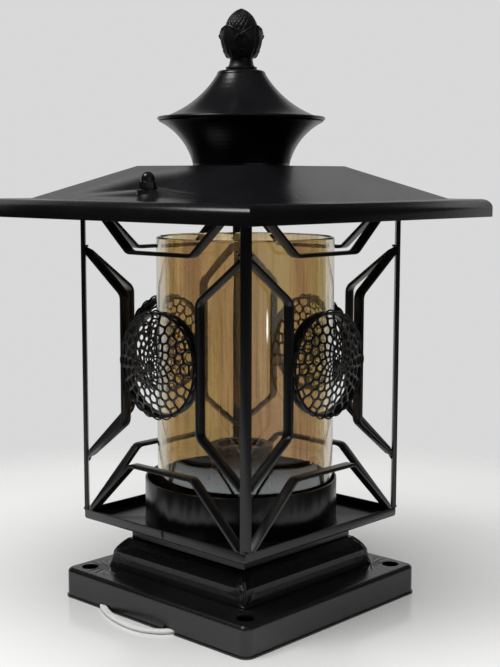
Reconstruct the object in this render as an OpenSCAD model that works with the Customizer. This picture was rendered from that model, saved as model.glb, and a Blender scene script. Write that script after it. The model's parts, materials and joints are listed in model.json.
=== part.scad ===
// Gate pillar light: a square iron lantern with a glass cylinder, on a pressed steel base.
// Millimetres, +Z up. The origin is the middle of the base, on the surface it stands on.
// The lantern's four faces look along -Y (front), +X (right), +Y (back) and -X (left).

/* [Base] */
// Width and depth of the base, over the lip round its foot
base_w = 150; // [140:1:175]
// Height of the low box that the base is pressed into
base_h = 17.5; // [14:0.5:24]
// Radius of the base's upright corners
base_corner_r = 5; // [4:0.5:8]
// Radius of the base's top edge
base_edge_r = 2.5; // [1:0.5:4]
// Width of the lip round the foot of the base
lip_w = 0.8; // [0.4:0.1:1.5]
// Thickness of the steel that the base is pressed from
base_t = 1.2; // [0.8:0.1:2]
// Distance from the base's edge to the middle of a fixing hole
fixing_in = 11.5; // [9.5:0.5:14]
// Diameter of the fixing holes
fixing_d = 10; // [5:0.5:12]
// Width of the ledge round the plinth
ledge_w = 19.7; // [19:0.1:23]
// Height of the plinth above the low box
plinth_h = 17.5; // [12:0.5:26]
// How far the plinth's shoulder stands out past the neck
shoulder_out = 1.6; // [0.8:0.1:4]

/* [Neck and tray] */
// Width of the square neck under the tray
neck_w = 91.6; // [70:0.2:92]
// Height of the neck
neck_h = 12; // [6:0.5:24]
// Width of the tray
tray_w = 131; // [128:0.5:140]
// Height of the tray's upstand, from its underside
tray_rim_h = 6; // [4:0.5:12]
// Thickness of the sheet in the neck, the tray and the glass cup
sheet_t = 1.2; // [0.8:0.1:1.6]

/* [Cage] */
// Height of the corner posts
post_h = 184; // [176:1:230]
// Width of a post
post_w = 6; // [5:0.5:8]
// Thickness of a post
post_t = 2.5; // [2:0.1:4]
// Distance from the tray's edge to the middle of a post, along X or Y
post_in = 1.1; // [0:0.1:2.5]
// Width of the bent strips, across the face
strip_w = 6; // [4:0.5:7]
// Thickness of the bent strips
strip_t = 2; // [1.5:0.1:3]
// How far the strips sit in from the posts
strip_inset = 1; // [0.5:0.1:2]
// Radius of a bend, on the strip's middle
bend_r = 6; // [3:0.5:8]
// Height of the middle of each face's pattern above the tray's rim
pattern_z = 93; // [92:0.5:120]
// Half the distance between the two side strips of a face
side_u = 30; // [26:0.5:34]
// Half the height of a side strip's straight part
side_bend_z = 36.5; // [34:0.5:42]
// Half the height of a side strip, where it meets its post
side_end_z = 62; // [56:0.5:66]
// Half the length of the straight part of the top and bottom strips
cross_u = 25; // [18:0.5:32]
// Height of that straight part above or below the pattern's middle
cross_z = 60.5; // [54:0.5:64]
// Where the top and bottom strips meet the plate and the tray's rim
cross_end_u = 60; // [54:0.5:61]

/* [Medallions] */
// Number of holes in a ring; the edge has twice as many scallops
medallion_n = 12; // [10:1:13]
// Number of rings of holes
medallion_rings = 10; // [6:1:10]
// How far the dome's edge lies in from the outside of the hoop
dome_in = 1.8; // [1:0.1:5]
// Height of the dome above its flat border
dome_rise = 5; // [2:0.5:8]
// Thickness of the medallion's sheet
medallion_t = 1; // [0.6:0.1:1.5]
// How far the scallops stand out past the hoop
scallop_out = 1.6; // [1.3:0.1:2.2]
// Radius of a scallop
scallop_size = 8.6; // [7:0.1:10]
// Width of the edge that is left outside the crescent in each scallop
scallop_edge = 0.8; // [0.6:0.1:1]
// Distance from the dome's edge to the middle of the outermost ring of holes
ring_in = 1.3; // [1.2:0.1:4]
// Distance from one ring to the next, in the outer rings
ring_step = 2.65; // [2.5:0.05:2.8]
// The same distance in the inner rings, as a share of the ring's radius
ring_share = 0.25; // [0.22:0.01:0.28]
// Diameter of a hole in the outer rings
hole_d = 4.7; // [3:0.1:4.8]
// Diameter of a hole in the inner rings, as a share of the way to its neighbour in the ring
hole_share = 0.53; // [0.4:0.01:0.56]
// How far the openings along the rim are widened to each side
rim_spread = 1.2; // [0.6:0.1:1.4]
// Thickness of the hoop that carries the medallion
hoop_t = 1.6; // [1:0.1:2.5]

/* [Glass and cup] */
// Outer diameter of the glass cylinder
glass_d = 103.2; // [90:0.2:104]
// Thickness of the glass
glass_t = 2.6; // [2:0.1:4]
// Height of the glass
glass_h = 164.5; // [120:0.5:166]
// How far the loose glass stands off the middle of its cup
glass_shift = 2.5; // [0:0.1:2.5]
// Gap between the glass and the wall of its cup, all round
cup_gap = 3.7; // [3:0.1:5]
// Height of the cup
cup_h = 25; // [16:0.5:32]

/* [Roof] */
// Width of the square roof
roof_w = 206.8; // [200:0.2:230]
// Width of the flat top of the roof
roof_top_w = 84.2; // [66:0.2:96]
// Pitch of the roof in degrees
roof_pitch = 23.3; // [18:0.1:26]
// Width of the nearly flat margin outside the slopes
margin_w = 18; // [10:0.5:20]
// Height of the roof's edge, from the margin to its lower rim
brim_h = 10.3; // [8:0.1:20]
// Radius of the roof's outer edge
brim_r = 5; // [2:0.5:7]
// Thickness of the roof's steel
roof_t = 1; // [0.7:0.1:1.4]
// How far the plate on top of the cage stands out past the tray
plate_out = 11; // [9.5:0.5:12.5]
// Thickness of that plate
plate_t = 1.2; // [1:0.1:2]
// Gap between the glass and the plate's opening, all round
plate_gap = 4.4; // [3.4:0.1:7]
// Distance from the plate's edge to the middle of a stud that holds the roof
stud_in = 4; // [3.5:0.1:6]
// Diameter of the studs
stud_d = 5; // [4:0.5:5]
// Width of a dome nut, across its flats
nut_flats = 8; // [7:0.5:9]
// Height of a dome nut
nut_h = 9.5; // [8:0.5:13]

/* [Chimney and finial] */
// Diameter of the chimney's foot
flare_foot_d = 55.8; // [44:0.2:58]
// Diameter of the chimney's wide rim
flare_rim_d = 96; // [80:0.5:120]
// Height of the lower, flaring part
flare_h = 25.8; // [18:0.2:40]
// How far the flare's side bows in
flare_bow = 3.4; // [1:0.1:6]
// Height of the upper part
lid_h = 26.9; // [16:0.1:36]
// Diameter of the upper part's flat top
lid_top_d = 24; // [22:0.2:34]
// How far the upper part's side bows in
lid_bow = 3.8; // [1:0.1:6]
// Depth of the rounded shoulder under that flat top
lid_shoulder = 2.2; // [1:0.1:5]
// Thickness of the spun sheet
spun_t = 0.8; // [0.6:0.1:1.2]
// Diameter of the beaded edge where the two parts meet
bead_d = 2; // [1.6:0.1:3]
// Height of the finial
finial_h = 34.4; // [32:0.2:50]
// Largest diameter of the finial, over its leaf cup
finial_d = 24.4; // [22.4:0.2:30]
// Diameter of the finial's foot
finial_foot_d = 17.8; // [16:0.2:22]
// Diameter of the neck above the foot
finial_neck_d = 13; // [12:0.2:15]
// Height of the leaf tips above the foot
finial_leaf_h = 24.6; // [22:0.2:27]
// Depth of the notches between the leaves
finial_notch = 4.7; // [2:0.1:7]
// Number of leaves in the finial's cup
finial_leaves = 4; // [4:1:8]
// Diameter of the threaded rod inside
rod_d = 6; // [4:0.5:6]
// How far that rod reaches into the finial
rod_in = 17; // [8:0.5:18]

/* [Lamp holder] */
// Outer diameter of the lamp holder
holder_d = 35.6; // [33:0.2:36]
// Height of the lamp holder above the cup's floor
holder_h = 42.6; // [38:0.2:50]
// How far the lamp holder's ring stands out past it
holder_ring_out = 1.2; // [1:0.1:3]
// Height of that ring
holder_ring_h = 3.6; // [3:0.2:6]
// Inner diameter of the screw shell that takes the lamp
lamp_bore_d = 26.6; // [26:0.1:27.2]
// Length of the screw shell
lamp_bore_h = 22; // [16:0.5:25]
// Outer diameter of the threaded tube through the middle
tube_d = 10; // [9.5:0.5:12]
// Bore of the threaded tube
tube_bore_d = 7; // [6:0.2:7.4]

/* [Fits] */
// Radial clearance of a turning fit
running_fit = 0.05; // [0.02:0.01:0.1]
// Gap between a moving piece and what it would otherwise touch
rest_gap = 0.3; // [0.2:0.05:0.5]
// Radial clearance of a hole round a fixed rod or stud
hole_gap = 0.4; // [0.2:0.1:0.8]

/* [Cord] */
// Width of the flat two-core cord
cord_w = 4.2; // [3.6:0.1:4.6]
// Thickness of the cord
cord_t = 2.3; // [2:0.1:2.5]
// Width of the gaps in the base's rim that the cord passes through
cord_gap_w = 9; // [7:0.5:14]
// Height of those gaps
cord_gap_h = 3.2; // [2.8:0.1:5]

/* [Hidden] */
$fn = 96;

iron = "#232427";
steel = "#34363a";
bakelite = "#161617";
brass = "#b8995a";
zinc = "#b9bcc0";
amber = "#b98f4e";
white = "#e8e8e4";

// Small overlap that lets one cut run past a face
cut = 0.5;

// Heights, from the ground up
base_half = base_w/2 - lip_w;
lip_h = 1;
fixing_out = base_w/2 - fixing_in;
plinth_half = base_w/2 - ledge_w;
shoulder_half = neck_w/2 + shoulder_out;
plinth_top = base_h + plinth_h;
tray_z = plinth_top + neck_h;
floor_z = tray_z + sheet_t;
cage_z = tray_z + tray_rim_h;
cage_top = cage_z + post_h;
plate_top = cage_top + plate_t;
pattern_mid = cage_z + pattern_z;
cup_floor = floor_z + sheet_t;
glass_z = cup_floor + rest_gap;
holder_top = cup_floor + holder_h;
cup_r = glass_d/2 + cup_gap + sheet_t;

// The faces of the lantern
post_out = tray_w/2 - post_in;
strip_out = post_out - strip_inset;
face_front = strip_out + strip_w/2;
hoop_r = side_u - strip_t/2;
dome_r = hoop_r - dome_in;
ring_r = dome_r - ring_in;
scallop_r = hoop_r + scallop_out - scallop_size;

// The roof rests on the plate's edge, and its slope starts from there
plate_half = tray_w/2 + plate_out;
plate_hole_r = glass_d/2 + plate_gap;
stud_out = plate_half - stud_in;
roof_half = roof_w/2;
roof_top_half = roof_top_w/2;
sheet_rise = roof_t/cos(roof_pitch);
function roof_z(h) = plate_top + rest_gap + sheet_rise + (plate_half - h)*tan(roof_pitch);
roof_top = roof_z(roof_top_half);
margin_half = roof_half - margin_w;
margin_z = roof_z(margin_half);
nut_seat = roof_z(stud_out);
nut_corner_r = nut_flats/2/cos(30);
seat_r = nut_corner_r + 0.8;
seat_reach = 8;

// The chimney stands on the flat top
flare_top = roof_top + flare_h;
flare_foot_h = 1.5;
lid_top = flare_top + bead_d/2 + lid_h;
finial_z = lid_top + rest_gap;
rod_washer_t = 1.2;
rod_nut_h = 5;
rod_washer_z = roof_top - sheet_rise - rod_washer_t;
rod_nut_z = rod_washer_z - rod_nut_h;

// The tube clamps the tray, the neck and the base between the lamp holder and its nut
tube_r = tube_d/2;
tube_washer_t = 1;
tube_nut_h = 3;
tube_washer_z = plinth_top - base_t - tube_washer_t;
tube_nut_z = tube_washer_z - tube_nut_h;
tube_past = 3.5;
tube_bottom = tube_nut_z - tube_past;
tube_rise = 7;
tube_top = cup_floor + tube_rise;
bush_t = 0.5;
bush_flange = 1.5;

// The lamp holder
cap_h = 12;
cap_top = cup_floor + cap_h;
cap_wall = 2;
cap_curve_h = 6;
boss_h = 9.5;
boss_wall = 4;
block_z = cup_floor + boss_h;
block_h = 4;
contact_rise = 3.5;
contact_t = 0.6;
contact_w = 5;
shell_z = block_z + block_h + contact_rise;
shell_t = 0.5;
holder_bore_r = lamp_bore_d/2 + shell_t + 0.15;
holder_r = holder_d/2;

// The cord's route, from the lamp holder down the tube, under the base and out in front
cord_lift = 1.3;
route = [
    [0, 0, block_z], [-0.2, 0, 46], [-0.4, 0, 32], [-0.8, 0, 20], [-2.4, 0, 11], [-7, 0, 5],
    [-14, 1, 2], [-24, 2, cord_lift], [-38, 0, cord_lift], [-50, -8, cord_lift],
    [-58, -22, cord_lift], [-60, -38, cord_lift], [-56, -54, cord_lift], [-47, -67, cord_lift],
    [-36, -76, cord_lift], [-20, -82, cord_lift], [-3, -84, cord_lift], [9, -81, cord_lift],
    [17, -74, cord_lift], [22, -60, cord_lift], [24, -44, cord_lift], [32, -28, cord_lift],
    [46, -16, cord_lift], [56, 2, cord_lift], [56, 24, cord_lift], [44, 44, cord_lift],
    [24, 55, cord_lift], [0, 58, cord_lift], [-24, 54, cord_lift], [-42, 42, cord_lift]
];
route_steps = 2;
cord_sides = 8;

// Where the cord crosses the base's front wall
cord_gap_x = [-37.5, 16];

function unit(v) = v/norm(v);
function reverse(list) = [for (i = [len(list) - 1:-1:0]) list[i]];

// A list without its first item, to follow a path that ends on that point
function rest(list) = [for (i = [1:len(list) - 1]) list[i]];

// Points on the arc from p to q that bows to the left by bow
function arc(p, q, bow, steps) =
    let(
        chord = norm(q - p),
        r = (chord*chord/4 + bow*bow)/(2*bow),
        along = (q - p)/chord,
        left = [-along[1], along[0]],
        middle = (p + q)/2 + left*(bow - r),
        half = asin(chord/2/r)
    )
    [for (i = [0:steps])
        let(turn = half*(2*i/steps - 1))
        middle + r*(sin(turn)*along + cos(turn)*left)];

// Points that round the corner b of the path a, b, c
function rounded(a, b, c, r, steps) =
    let(
        u = unit(a - b),
        v = unit(c - b),
        half = acos(u*v)/2,
        p = b + u*r/tan(half),
        q = b + v*r/tan(half),
        middle = b + unit(u + v)*r/sin(half)
    )
    [for (i = [0:steps]) middle + r*unit((p - middle)*(1 - i/steps) + (q - middle)*i/steps)];

// A path whose inner corners are rounded
function bent(points, r) =
    let(last = len(points) - 1)
    concat(
        [points[0]],
        [for (i = [1:last - 1]) each rounded(points[i - 1], points[i], points[i + 1], r, 6)],
        [points[last]]
    );

// The path shifted sideways, to its left by d
function beside(points, d) =
    let(last = len(points) - 1)
    [for (i = [0:last])
        let(
            before = unit(points[max(i, 1)] - points[max(i, 1) - 1]),
            after = unit(points[min(i, last - 1) + 1] - points[min(i, last - 1)]),
            normal = unit([-before[1] - after[1], before[0] + after[0]])
        )
        points[i] + normal*d/(normal*[-after[1], after[0]])];

// A strip's outline: the path with a thickness
module ribbon(points, t) {
    polygon(concat(beside(points, t/2), reverse(beside(points, -t/2))));
}

// A wall of spun sheet: the path with its thickness on the right, turned about Z
module spun(points, t) {
    rotate_extrude()
        polygon(concat(points, reverse(beside(points, -t))));
}

// A solid of square plan: profile gives [half width, height] from its foot to its top
module square_body(profile) {
    outline = concat(profile, [for (p = reverse(profile)) [-p[0], p[1]]]);
    reach = 2*max([for (p = profile) p[0]]) + 2;
    intersection() {
        rotate([90, 0, 0])
            linear_extrude(reach, center = true)
            polygon(outline);
        rotate([90, 0, 90])
            linear_extrude(reach, center = true)
            polygon(outline);
    }
}

// A square with round corners, by its half width
module rounded_square(half, r) {
    square([2*half, 2*(half - r)], center = true);
    square([2*(half - r), 2*half], center = true);
    for (x = [-1, 1], y = [-1, 1])
        translate([x*(half - r), y*(half - r)])
            circle(r);
}

// A plain ring or tube that stands at height z
module ring(outer_r, inner_r, z, h) {
    translate([0, 0, z])
        difference() {
            cylinder(r = outer_r, h = h);
            translate([0, 0, -cut])
                cylinder(r = inner_r, h = h + 2*cut);
        }
}

// A hexagon nut with a bore, at height z
module hex_nut(flats, bore_r, z, h) {
    translate([0, 0, z])
        difference() {
            cylinder(r = flats/2/cos(30), h = h, $fn = 6);
            translate([0, 0, -cut])
                cylinder(r = bore_r, h = h + 2*cut);
        }
}

// The base's low box, drawn in by d, with its upright corners and its top edge rounded
module low_box(d) {
    half = base_half - d;
    corner_r = base_corner_r - d;
    middle = half - corner_r;
    top = base_h - d;
    edge_r = base_edge_r - d/2;
    foot = -cut*sign(d);
    side = concat(
        [[0, foot], [corner_r, foot], [corner_r, top - edge_r]],
        arc([corner_r, top - edge_r], [corner_r - edge_r, top], -edge_r*(1 - sqrt(0.5)), 6),
        [[0, top]]
    );
    translate([-middle, -middle, foot])
        cube([2*middle, 2*middle, top - foot]);
    for (turn = [0:90:270])
        rotate(turn) {
            translate([middle, middle, 0])
                rotate([90, 0, 0])
                linear_extrude(2*middle)
                polygon(side);
            translate([middle, middle, 0])
                rotate_extrude(angle = 90)
                polygon(side);
        }
}

// Profile of the plinth, drawn in by d, from inside the low box up to the shoulder
function plinth_profile(d) =
    let(
        foot = plinth_half - d,
        top = shoulder_half - d,
        knee = [foot - 1.8, base_h + plinth_h*0.56]
    )
    concat(
        [[foot, base_h - 2*base_t], [foot, base_h + 1]],
        arc([foot, base_h + 1], knee, 0.3, 3),
        arc(knee, [top, plinth_top - d], -0.6, 4)
    );

module base_shell() {
    color(steel)
        difference() {
            union() {
                low_box(0);
                linear_extrude(lip_h)
                    rounded_square(base_half + lip_w, base_corner_r + lip_w);
                square_body(plinth_profile(0));
            }
            low_box(base_t);
            square_body(plinth_profile(base_t));
            for (x = [-1, 1], y = [-1, 1])
                translate([x*fixing_out, y*fixing_out, base_h/2])
                    cylinder(d = fixing_d, h = base_h);
            translate([0, 0, base_h])
                cylinder(r = tube_r + hole_gap, h = plinth_h + cut);
            for (x = cord_gap_x)
                translate([x - cord_gap_w/2, -base_w, -cut])
                    cube([cord_gap_w, base_w - base_half + 3*base_t, cord_gap_h + cut]);
        }
}

module neck_box() {
    color(iron)
        difference() {
            translate([-neck_w/2, -neck_w/2, plinth_top])
                cube([neck_w, neck_w, neck_h]);
            translate([-neck_w/2 + sheet_t, -neck_w/2 + sheet_t, plinth_top - cut])
                cube([neck_w - 2*sheet_t, neck_w - 2*sheet_t, neck_h + 2*cut]);
        }
}

module tray() {
    half = tray_w/2;
    fold = 1.6;
    color(iron)
        difference() {
            square_body(concat(
                arc([half - fold, tray_z], [half, tray_z + fold], -fold*(1 - sqrt(0.5)), 3),
                [[half, cage_z]]
            ));
            square_body([[half - sheet_t, floor_z], [half - sheet_t, cage_z + cut]]);
            translate([0, 0, tray_z - cut])
                cylinder(r = tube_r + hole_gap, h = sheet_t + 2*cut);
        }
}

module glass_cup() {
    color(iron) {
        ring(cup_r, cup_r - sheet_t, floor_z, cup_h);
        ring(cup_r - sheet_t/2, tube_r + hole_gap, floor_z, sheet_t);
    }
}

// A corner post: a flat bar whose broad side looks out along the corner's diagonal
module post(turn) {
    color(iron)
        rotate(turn)
        translate([post_out, -post_out, cage_z])
        rotate(-45)
        translate([-post_t/2, -post_w/2, 0])
        cube([post_t, post_w, post_h]);
}

// Room that a face's strips leave for the post and for the next face, at their right end
module corner_room() {
    room = 60;
    low = cage_z - room;
    tall = post_h + 2*room;
    translate([post_out, -post_out, low])
        rotate(-45) {
            translate([-post_t/2, -room, 0])
                cube([room, 2*room, tall]);
            translate([-room, 0, 0])
                cube([2*room, room, tall]);
        }
}

// A strip bent along a path of [sideways, height] points, set in a face and cut at its ends
module face_strip(path, turn) {
    color(iron)
        rotate(turn)
        difference() {
            translate([0, -strip_out, 0])
                rotate([90, 0, 0])
                linear_extrude(strip_w, center = true)
                ribbon(bent(path, bend_r), strip_t);
            corner_room();
            mirror([1, 0, 0])
                corner_room();
            translate([-tray_w, -tray_w, cage_top])
                cube([2*tray_w, 2*tray_w, post_h]);
            translate([-tray_w, -tray_w, cage_z - post_h])
                cube([2*tray_w, 2*tray_w, post_h]);
        }
}

// The top strip hangs from the plate, and the bottom one stands on the tray's rim
module cross_brace(turn, way) {
    end_z = way > 0 ? cage_top - pattern_mid : pattern_mid - cage_z;
    bend = [cross_u, pattern_mid + way*cross_z];
    foot = [cross_end_u, pattern_mid + way*end_z];
    past = foot + (foot - bend)*0.3;
    face_strip([[-past[0], past[1]], [-bend[0], bend[1]], bend, past], turn);
}

// A side strip bows from its post to the medallion and back
module side_brace(turn, side) {
    bend = [side*side_u, side_bend_z];
    end = [side*post_out, side_end_z];
    path = [end, bend, [bend[0], -bend[1]], [end[0], -end[1]]];
    face_strip([for (p = path) [p[0], p[1] + pattern_mid]], turn);
}

module hoop(turn) {
    color(iron)
        rotate(turn)
        translate([0, -strip_out, pattern_mid])
        rotate([90, 0, 0])
        ring(hoop_r, hoop_r - hoop_t, -strip_w/2, strip_w);
}

// Radius of a ring of holes, counted from the outermost
function hole_ring(k) =
    k == 0 ? ring_r : let(r = hole_ring(k - 1)) r - min(ring_step, ring_share*r);

// A hole square to the dome, so that it points at the middle of the dome's ball
module dome_hole(ball_r, r, turn, size) {
    rotate([0, asin(r/ball_r), turn])
        translate([0, 0, ball_r - 3*medallion_t])
        cylinder(d = size, h = 5*medallion_t, $fn = 24);
}

// The same, drawn out along the rim
module dome_slot(ball_r, r, turn, size) {
    rotate([0, asin(r/ball_r), turn])
        translate([0, 0, ball_r - 3*medallion_t])
        linear_extrude(5*medallion_t) {
            square([size, 2*rim_spread], center = true);
            for (side = [-1, 1])
                translate([0, side*rim_spread])
                    circle(d = size, $fn = 24);
        }
}

// Rings of holes that shrink towards the middle, each set half a pitch off the last.
// The outermost ring's are drawn out, with a narrow slot between each two beside the hoop.
module medallion_holes(ball_r) {
    pitch = 360/medallion_n;
    for (k = [1:medallion_rings - 1], i = [0:medallion_n - 1]) {
        r = hole_ring(k);
        dome_hole(ball_r, r, (i + (k + 1)/2)*pitch, min(hole_d, hole_share*r*pitch*PI/180));
    }
    for (i = [0:medallion_n - 1]) {
        dome_slot(ball_r, ring_r, (i + 0.5)*pitch, hole_d);
        dome_slot(ball_r, dome_r - 0.3, i*pitch, 0.33*hole_d);
    }
}

// A border of shallow scallops, with a crescent cut out of each
module medallion_border() {
    scallop_pitch = 180/medallion_n;
    difference() {
        for (i = [0:2*medallion_n - 1])
            rotate(i*scallop_pitch)
                translate([scallop_r, 0])
                circle(scallop_size);
        circle(dome_r - 0.4*medallion_t);
        difference() {
            for (i = [0:2*medallion_n - 1])
                rotate(i*scallop_pitch)
                    translate([scallop_r, 0])
                    circle(scallop_size - scallop_edge);
            circle(hoop_r + 0.2);
        }
    }
}

// The dome is a cap of a hollow ball, and the outermost holes also bite into the border
module medallion(turn) {
    ball_r = (dome_r*dome_r + dome_rise*dome_rise)/(2*dome_rise);
    ball_z = dome_rise + medallion_t - ball_r;
    color(iron)
        rotate(turn)
        translate([0, -face_front, pattern_mid])
        rotate([90, 0, 0])
        difference() {
            union() {
                linear_extrude(medallion_t)
                    medallion_border();
                difference() {
                    intersection() {
                        translate([0, 0, ball_z])
                            rotate([0, 90, 0])
                            sphere(ball_r);
                        cylinder(r = dome_r, h = dome_rise + 2*medallion_t);
                    }
                    translate([0, 0, ball_z])
                        rotate([0, 90, 0])
                        sphere(ball_r - medallion_t);
                }
            }
            translate([0, 0, ball_z])
                medallion_holes(ball_r);
        }
}

module top_plate() {
    color(iron)
        translate([0, 0, cage_top])
        linear_extrude(plate_t)
        difference() {
            square(2*plate_half, center = true);
            circle(plate_hole_r);
            for (y = [-1, 1])
                translate([0, y*stud_out])
                    circle(d = stud_d);
        }
}

module roof_studs() {
    head_r = stud_d/2 + 1.4;
    color(zinc)
        for (y = [-1, 1])
            translate([0, y*stud_out, 0]) {
                translate([0, 0, cage_top - 1])
                    cylinder(r = head_r, h = 1);
                translate([0, 0, cage_top - 0.5])
                    cylinder(d = stud_d, h = nut_seat + nut_h - 2.4 - cage_top + 0.5);
            }
}

// Outline of the roof, drawn in by d
function roof_profile(d) =
    let(
        half = roof_half - d,
        drop = d/cos(roof_pitch),
        edge_z = margin_z - d
    )
    concat(
        [[half, margin_z - brim_h - cut*sign(d)], [half, edge_z - brim_r + d]],
        arc([half, edge_z - brim_r + d], [half - brim_r + d, edge_z], -(brim_r - d)*(1 - sqrt(0.5)), 6),
        [[margin_half, margin_z - drop], [roof_top_half, roof_top - drop]]
    );

// A flat seat for a dome nut, pressed into the slope round its stud
module nut_seat_press() {
    difference() {
        intersection() {
            translate([0, 0, nut_seat - seat_reach/2])
                cylinder(r = seat_r + roof_t, h = seat_reach);
            union() {
                translate([0, 0, nut_seat - seat_reach/2])
                    cylinder(r = seat_r + 2*roof_t, h = seat_reach/2);
                translate([0, stud_out, 0])
                    square_body(roof_profile(0));
            }
        }
        translate([0, 0, nut_seat])
            cylinder(r = seat_r, h = seat_reach);
        translate([0, 0, nut_seat - seat_reach])
            cylinder(r = seat_r, h = seat_reach - roof_t);
        intersection() {
            translate([0, stud_out, 0])
                square_body(roof_profile(roof_t));
            translate([0, 0, nut_seat - seat_reach - roof_t])
                cylinder(r = seat_r + 3*roof_t, h = seat_reach);
        }
    }
}

module roof() {
    color(steel)
        difference() {
            union() {
                difference() {
                    square_body(roof_profile(0));
                    square_body(roof_profile(roof_t));
                    for (turn = [0, 180])
                        rotate(turn)
                            translate([0, -stud_out, nut_seat - seat_reach])
                            cylinder(r = seat_r, h = 2*seat_reach);
                }
                for (turn = [0, 180])
                    rotate(turn)
                        translate([0, -stud_out, 0])
                        nut_seat_press();
            }
            for (y = [-1, 1])
                translate([0, y*stud_out, nut_seat - seat_reach])
                    cylinder(r = stud_d/2 + hole_gap, h = 2*seat_reach);
            translate([0, 0, roof_top - 4*roof_t])
                cylinder(r = rod_d/2 + hole_gap, h = 8*roof_t);
        }
}

// A dome nut on a stud, which it turns on
module dome_nut(y) {
    hex_h = 0.42*nut_h;
    dome_ball = nut_flats/2 - 0.2;
    color(iron)
        translate([0, y, nut_seat + rest_gap])
        difference() {
            union() {
                cylinder(r = nut_corner_r, h = hex_h, $fn = 6);
                translate([0, 0, hex_h])
                    cylinder(r = dome_ball, h = nut_h - hex_h - dome_ball);
                translate([0, 0, nut_h - dome_ball])
                    sphere(dome_ball);
            }
            translate([0, 0, -cut])
                cylinder(r = stud_d/2 + running_fit, h = nut_h - 2.2 + cut);
        }
}

// The flare's rim ends just under the lid's beaded edge
module chimney_flare() {
    foot = [flare_foot_d/2, roof_top];
    rim = [flare_rim_d/2 - bead_d/2, flare_top - 0.9*spun_t];
    neck = foot + [0, flare_foot_h];
    color(steel)
        spun(concat([foot + [0, -0.01]], arc(neck, rim, flare_bow, 12)), -spun_t);
}

// The lid closes the chimney, and its beaded edge sits over the flare's rim
module chimney_lid() {
    rim = [flare_rim_d/2 - bead_d/2, flare_top + bead_d/2];
    edge = [lid_top_d/2, lid_top];
    knee = edge + [0.9*lid_shoulder, -lid_shoulder];
    rod_room = rod_d/2 + hole_gap;
    color(steel) {
        spun(concat(
            [rim + [0.2*bead_d, 0]],
            arc(rim, knee, lid_bow, 12),
            rest(arc(knee, edge, -0.25*lid_shoulder, 5)),
            [[rod_room, lid_top]]
        ), -spun_t);
        rotate_extrude()
            translate(rim)
            circle(d = bead_d, $fn = 24);
    }
}

// A wedge between two leaves of the finial's cup, pointing along X
module leaf_notch() {
    half = finial_d/2*sin(180/finial_leaves)*0.75;
    translate([finial_neck_d/2 - 2, 0, finial_leaf_h])
        rotate([90, 0, 90])
        linear_extrude(finial_d)
        polygon([[0, -finial_notch], [half, cut/2], [-half, cut/2]]);
}

// The finial: a foot, a neck and a cup of pointed leaves round a rounded cone.
// A bead sits under each notch, and a notch looks out over each corner of the roof.
module finial() {
    widest = finial_d/2;
    neck = finial_neck_d/2;
    cup_z = 6.8;
    belly_z = 0.76*finial_leaf_h;
    notch_z = finial_leaf_h - finial_notch;
    leaf_top = [0.96*widest, finial_leaf_h];
    cone_side = [0.735*widest, finial_leaf_h];
    color(iron)
        translate([0, 0, finial_z])
        rotate(180/finial_leaves)
        difference() {
            union() {
                cylinder(d = finial_foot_d, h = 2);
                rotate_extrude()
                    polygon(concat(
                        [[0, 1], [neck + 1, 1], [neck + 1, 2.8], [neck + 0.5, 3]],
                        arc([neck + 0.5, 3], [neck, cup_z - 0.4], 0.2, 4),
                        [[neck, cup_z + 1], [0, cup_z + 1]]
                    ));
                difference() {
                    rotate_extrude()
                        polygon(concat(
                            [[0, cup_z], [neck + 1.4, cup_z]],
                            arc([neck + 1.4, cup_z], [widest, belly_z], -1.2, 8),
                            arc([widest, belly_z], leaf_top, -0.2, 3),
                            [[leaf_top[0] - 0.9, finial_leaf_h], [cone_side[0], notch_z], [0, notch_z]]
                        ));
                    for (i = [0:finial_leaves - 1])
                        rotate(i*360/finial_leaves)
                            leaf_notch();
                }
                rotate_extrude()
                    polygon(concat(
                        [[0, notch_z - 3], [cone_side[0] + 0.5, notch_z - 3]],
                        arc(cone_side, [0, finial_h], -1.75, 12)
                    ));
                for (i = [0:finial_leaves - 1])
                    rotate(i*360/finial_leaves)
                        translate([widest - 0.9, 0, notch_z - 1.3])
                        sphere(1.3, $fn = 32);
            }
            translate([0, 0, -cut])
                cylinder(r = rod_d/2 + running_fit, h = rod_in + 1 + cut);
        }
}

module finial_rod() {
    foot = rod_nut_z - 2;
    color(zinc)
        translate([0, 0, foot])
        cylinder(d = rod_d, h = finial_z + rod_in - foot);
}

module rod_washer() {
    color(zinc)
        ring(rod_d + 3, rod_d/2, rod_washer_z, rod_washer_t);
}

module rod_nut() {
    color(zinc)
        hex_nut(1.65*rod_d, rod_d/2, rod_nut_z, rod_nut_h);
}

// The glass cylinder stands loose in its cup, with both its ends rounded by fire
module glass() {
    r = glass_d/2;
    end_r = glass_t/2;
    color(amber, 0.5)
        translate([glass_shift*cos(45), glass_shift*sin(45), glass_z])
        rotate_extrude() {
            translate([r - glass_t, end_r])
                square([glass_t, glass_h - glass_t]);
            for (z = [end_r, glass_h - end_r])
                translate([r - end_r, z])
                    circle(end_r, $fn = 24);
        }
}

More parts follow.
